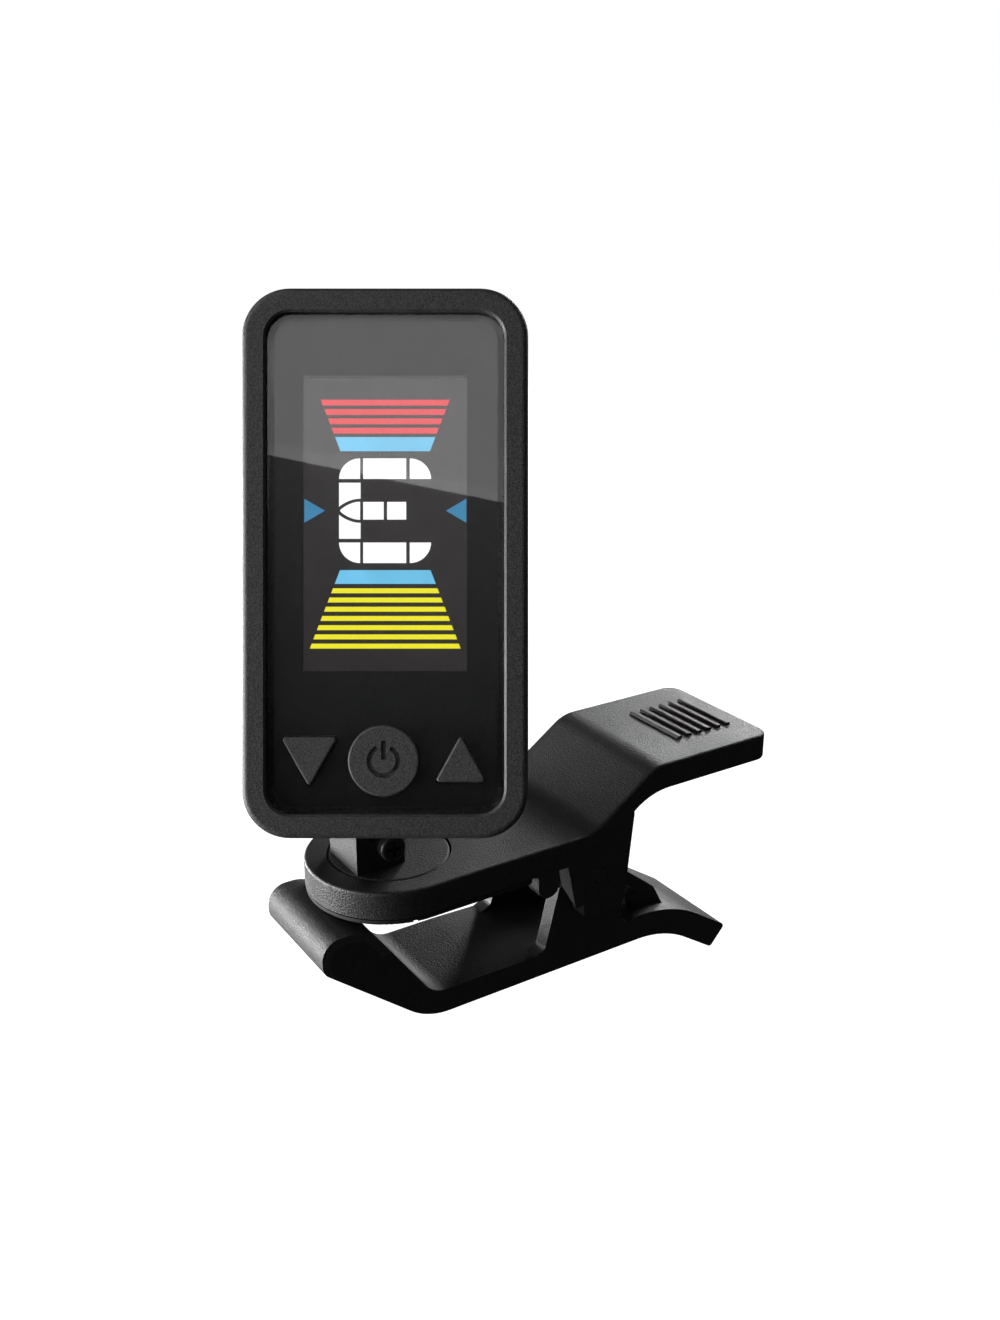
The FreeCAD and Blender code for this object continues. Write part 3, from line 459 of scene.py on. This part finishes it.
def key_hole(node):
    """Outline of a key's top face on the head, grown a little outwards."""
    low, high = head_box(node)
    cap = [FROM_HEAD @ v.co / MM for v in NODES[node].data.vertices]
    cap = [p for p in cap if p.z > PANEL_LOW.z + 0.3]
    middle = Vector(((low.x + high.x) / 2, sum(p.y for p in cap) / len(cap)))
    hull = []
    for i in range(72):
        angle = math.pi * 2 * i / 72
        way = Vector((math.cos(angle), math.sin(angle)))
        hull.append(max(cap, key=lambda p: p.x * way.x + p.y * way.y))
    return [tuple(Vector((p.x, p.y)) + (Vector((p.x, p.y)) - middle).normalized() * KEY_GROWTH)
            for i, p in enumerate(hull) if p != hull[i - 1]]


def sheet_with_holes(name, outer, holes, low, high):
    """Flat sheet with cut-outs, from outlines in mm on the head."""
    curve = bpy.data.curves.new(name, "CURVE")
    curve.dimensions = "2D"
    curve.fill_mode = "BOTH"
    curve.extrude = (high - low) / 2 * MM
    for points in [outer] + holes:
        spline = curve.splines.new("POLY")
        spline.points.add(len(points) - 1)
        spline.use_cyclic_u = True
        for target, (x, y) in zip(spline.points, points):
            target.co = (x * MM, y * MM, 0, 1)
    drawn = bpy.data.objects.new(name, curve)
    bpy.context.scene.collection.objects.link(drawn)
    graph = bpy.context.evaluated_depsgraph_get()
    mesh = bpy.data.meshes.new_from_object(drawn.evaluated_get(graph))
    bpy.data.objects.remove(drawn)
    bpy.data.curves.remove(curve)
    mesh.transform(HEAD @ Matrix.Translation(Vector((0, 0, (high + low) / 2)) * MM))
    return mesh


outer_edge = round_box(PANEL_LOW.x + MASK_INSET, PANEL_HIGH.x - MASK_INSET,
                       PANEL_LOW.y + MASK_INSET, PANEL_HIGH.y - MASK_INSET, MASK_CORNER)
cut_outs = [on_print(box_outline(VIEW_LEFT, VIEW_RIGHT, VIEW_LOW, VIEW_HIGH))]
cut_outs += [key_hole(node) for node in ("power_button", "down_button", "up_button")]
window_print = sheet_with_holes("window_print", outer_edge, cut_outs, MASK_LOW, MASK_HIGH)
add_piece("window_print", window_print, MASK, "head")


# ---------------------------------------------------------------- torsion spring
PIN = Vector(JOINTS["jaw_hinge"]["pos_m"])
COIL_R = 1.75
WIRE_R = 0.45
TURNS = 4
PITCH = 1.05


def wire_piece(name, points, body):
    """Round wire swept along points given in mm from the pin."""
    curve = bpy.data.curves.new(name, "CURVE")
    curve.dimensions = "3D"
    curve.bevel_depth = WIRE_R * MM
    curve.bevel_resolution = 5
    curve.use_fill_caps = True
    spline = curve.splines.new("POLY")
    spline.points.add(len(points) - 1)
    for target, point in zip(spline.points, points):
        target.co = (*(PIN + Vector(point) * MM), 1.0)
    piece = bpy.data.objects.new(name, curve)
    bpy.context.scene.collection.objects.link(piece)
    curve.materials.append(WIRE)
    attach(piece, body)
    return piece


def tangent_turn(end_x, end_z, side):
    """Angle on the coil where a straight leg to that end leaves it; side 1 over it, -1 under it."""
    return math.atan2(end_z, end_x) + side * math.acos(COIL_R / math.hypot(end_x, end_z))


def on_coil(turn, y):
    return (COIL_R * math.cos(turn), y, COIL_R * math.sin(turn))


half_width = PITCH * (TURNS - 1) / 2
UPPER_END = (6.0, 5.6)              # leg ends from the pin, under the handle and over the jaw's floor
LOWER_END = (7.2, -9.4)
LAP = math.radians(75)              # arc of the last turn that the lower leg carries with it
first_turn = tangent_turn(*UPPER_END, 1)
last_turn = tangent_turn(*LOWER_END, -1) + 2 * math.pi * TURNS
STEPS = 40 * TURNS
coil = [(UPPER_END[0], half_width, UPPER_END[1])]
for step in range(STEPS + 1):
    along = step / STEPS
    coil.append(on_coil(first_turn + (last_turn - first_turn) * along, half_width * (1 - 2 * along)))
lower_leg = [on_coil(last_turn - LAP * (1 - step / 16), -half_width) for step in range(17)]
lower_leg.append((LOWER_END[0], -half_width, LOWER_END[1]))
spring = wire_piece("spring_coil", coil, "upper_clip")
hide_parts("torsion_spring")
wire_piece("spring_lower_leg", lower_leg, "lower_clip")


# ---------------------------------------------------------------- floor, world, lights, camera
JAW_DROP = 19.0 * MM                # how far the open lower jaw reaches under its place at rest
FLOOR_R = 6.0                       # in metres
floor_at = (0, 0, CAD_BOX[0][2] - JAW_DROP)
bpy.ops.mesh.primitive_circle_add(vertices=96, radius=FLOOR_R, fill_type="NGON", location=floor_at)
floor = bpy.context.object
floor.name = "floor"
pale = Shader("pale_floor")
pale.put(Base_Color=grey(0.35), Roughness=0.9, Emission_Color=grey(1.0), Emission_Strength=1.0)
floor.data.materials.append(pale.material)
floor.visible_glossy = False
floor.visible_diffuse = False
floor.visible_transmission = False
floor.visible_shadow = False

ROOM_GLOW = 0.03
world = bpy.data.worlds.new("studio")
bpy.context.scene.world = world
world.use_nodes = True
sky = world.node_tree.nodes
link = world.node_tree.links.new
seen = sky["Background"]
seen.inputs["Color"].default_value = (1, 1, 1, 1)
seen.inputs["Strength"].default_value = 1.0          # what the camera sees
fill = sky.new("ShaderNodeBackground")
fill.inputs["Color"].default_value = (1, 1, 1, 1)
fill.inputs["Strength"].default_value = ROOM_GLOW    # what lights the object
path = sky.new("ShaderNodeLightPath")
either = sky.new("ShaderNodeMixShader")
link(path.outputs["Is Camera Ray"], either.inputs["Fac"])
link(fill.outputs["Background"], either.inputs[1])
link(seen.outputs["Background"], either.inputs[2])
link(either.outputs["Shader"], sky["World Output"].inputs["Surface"])


def soft_light(name, place_mm, aim_mm, width_mm, height_mm, radiance):
    """Rectangular softbox; radiance is its brightness, so power follows its area."""
    lamp = bpy.data.lights.new(name, "AREA")
    lamp.shape = "RECTANGLE"
    lamp.size = width_mm * MM
    lamp.size_y = height_mm * MM
    lamp.energy = radiance * math.pi * lamp.size * lamp.size_y
    made = bpy.data.objects.new(name, lamp)
    bpy.context.scene.collection.objects.link(made)
    place, aim = Vector(place_mm) * MM, Vector(aim_mm) * MM
    turn = (aim - place).to_track_quat("-Z", "Y").to_matrix().to_4x4()
    made.matrix_world = Matrix.Translation(place) @ turn
    made.visible_camera = False
    return made


# box seen in the window: it hangs in front of the head, above the camera
CARD_AT = 300.0
CARD_MIDDLE = (-14.0, 87.4)
CARD_SIZE = (150, 80)
CARD_SLANT = -11.5                  # degrees: the slope of the edge that shows in the window
card = soft_light("window_card", (0, 0, 0), (0, 0, 1), *CARD_SIZE, 1.45)
card_place = Matrix.Translation(Vector((*CARD_MIDDLE, CARD_AT)) * MM)
card.matrix_world = HEAD @ card_place @ Matrix.Rotation(math.radians(CARD_SLANT), 4, "Z")

# dim graded sheet under that box: the lower window darkens evenly towards the keys
SHEET_CORNERS = ((-110, -62), (80, -62), (80, 31.5), (-110, 70.5))
GRADED_GLOW = 0.26
SHEET_AT = CARD_AT + 2              # behind the box, so that the two never share a plane
sheet_points = [HEAD @ (Vector((x, y, SHEET_AT)) * MM) for x, y in SHEET_CORNERS]
sheet = bpy.data.meshes.new("graded_sheet")
sheet.from_pydata([tuple(p) for p in sheet_points], [], [(0, 1, 2, 3)])
graded = bpy.data.objects.new("graded_sheet", sheet)
bpy.context.scene.collection.objects.link(graded)
glow = Shader("graded_sheet")
rise = glow.node("ShaderNodeSeparateXYZ")
glow.link(glow.place, rise.inputs["Vector"])
low_z = min(p.z for p in sheet_points)
high_z = max(p.z for p in sheet_points)
gradient = glow.span(rise.outputs["Z"], low_z, high_z, 0.0, GRADED_GLOW)
glow.link(gradient, glow.main.inputs["Emission Strength"])
glow.put(Base_Color=grey(0.0), Emission_Color=grey(1.0), Specular_IOR_Level=0.0)
sheet.materials.append(glow.material)
graded.visible_camera = False
graded.visible_diffuse = False
graded.visible_shadow = False

REACH = 600.0                       # distance of the softboxes from AIM, in mm
AIM = Vector((12.0, 0.0, 20.0))
STUDIO = {
    # name: azimuth from +X towards +Y, elevation, side in mm, radiance
    "sweep_behind": (112, -8, 220, 28.0),
    "sweep_left": (156, -6, 220, 50.0),
    "left_high": (180, 60, 220, 4.5),
    "left_level": (181, 3, 200, 10.0),
    "right_behind": (20, 25, 200, 12.0),
    "handle_sheen": (41, 13, 110, 27.0),
}
for name, (azimuth, elevation, side, radiance) in STUDIO.items():
    around, above = math.radians(azimuth), math.radians(elevation)
    flat = math.cos(above)
    way = Vector((math.cos(around) * flat, math.sin(around) * flat, math.sin(above)))
    soft_light(name, AIM + way * REACH, AIM, side, side, radiance)

camera_data = bpy.data.cameras.new("camera")
camera = bpy.data.objects.new("camera", camera_data)
bpy.context.scene.collection.objects.link(camera)
camera.location = Vector((-61.496, -117.711, 76.447)) * MM
camera.rotation_euler = (math.radians(69.296), 0.0, math.radians(-32.91))
camera_data.sensor_width = 36.0
camera_data.lens = 36.66
camera_data.clip_start = 0.005
camera_data.clip_end = 50.0
bpy.context.scene.camera = camera
bpy.context.scene.view_settings.view_transform = "Standard"
